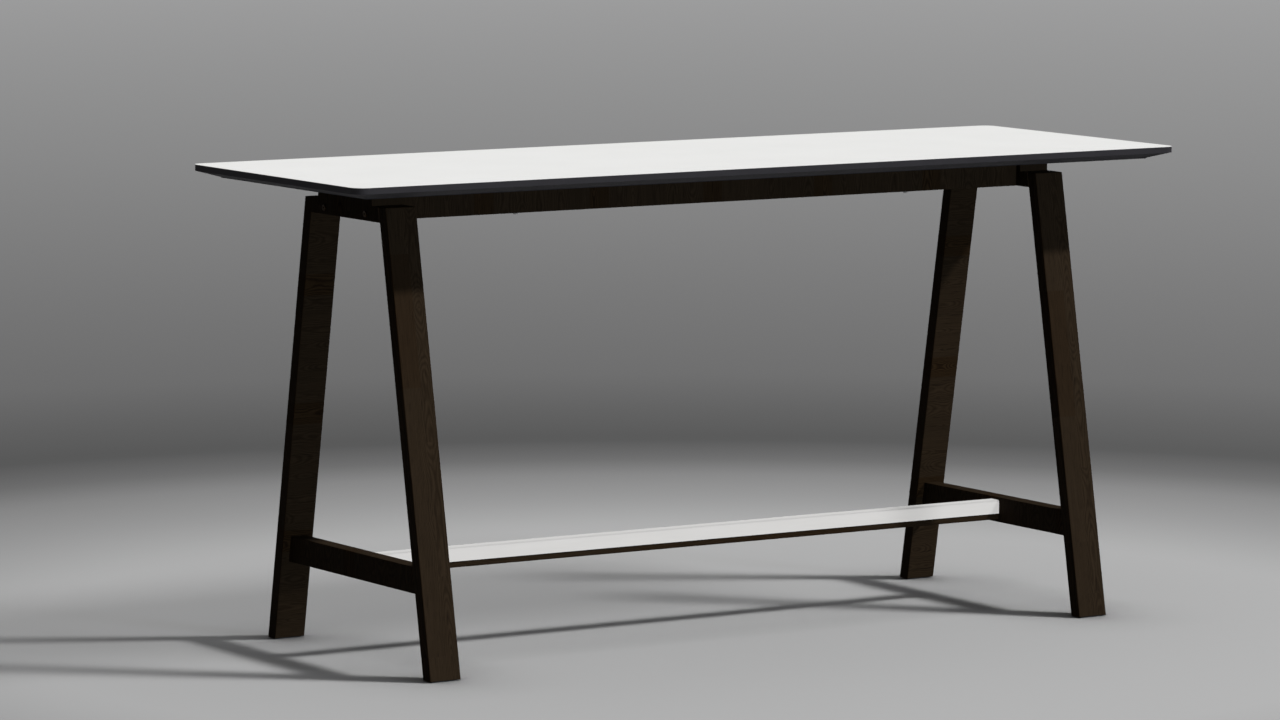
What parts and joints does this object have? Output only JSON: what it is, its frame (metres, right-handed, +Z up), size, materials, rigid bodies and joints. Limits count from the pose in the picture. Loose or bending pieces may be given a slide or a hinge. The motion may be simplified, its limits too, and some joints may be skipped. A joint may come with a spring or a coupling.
{
  "type": "high table",
  "caption": "Long narrow standing-height table: white top with an undercut dark edge, leaning flat wooden legs, cross rails, and a low footrest beam with a white metal cap.",
  "frame": {"origin": "on the floor, below the middle of the top", "axes": "+Z up, +X along the length of the table, +Y across it from front to rear"},
  "size_m": [2, 0.7, 1],
  "materials": {
    "white_laminate": "fine matt laminate",
    "dark_edge": "board with a dark grey lacquered edge",
    "dark_backing": "matt backing laminate",
    "stained_oak": "very dark brown stained oak, satin",
    "white_cap": "white powder coat, satin",
    "bronzed_steel": "bronzed",
    "zinc_steel": "zinc plated",
    "beech": "bare, grooved",
    "black_glide": "hard matt"
  },
  "bodies": {
    "root": {"footrest_beam": "stained_oak", "footrest_cam_pins": "zinc_steel", "footrest_cams": "zinc_steel", "footrest_cap": "white_cap", "footrest_dowels": "beech", "glide_front_left": "black_glide", "glide_front_right": "black_glide", "glide_rear_left": "black_glide", "glide_rear_right": "black_glide", "leg_front_left": "stained_oak", "leg_front_right": "stained_oak", "leg_rear_left": "stained_oak", "leg_rear_right": "stained_oak", "long_rail_front": "stained_oak", "long_rail_rear": "stained_oak", "lower_cross_rail_left": "stained_oak", "lower_cross_rail_right": "stained_oak", "lower_tenons": "beech", "rail_barrel_nuts": "zinc_steel", "rail_bolts": "bronzed_steel", "rail_dowels": "beech", "top_backing": "dark_backing", "top_core": "dark_edge", "top_laminate": "white_laminate", "top_screws": "zinc_steel", "upper_cross_rail_left": "stained_oak", "upper_cross_rail_right": "stained_oak", "upper_tenons": "beech"}
  },
  "joints": []
}
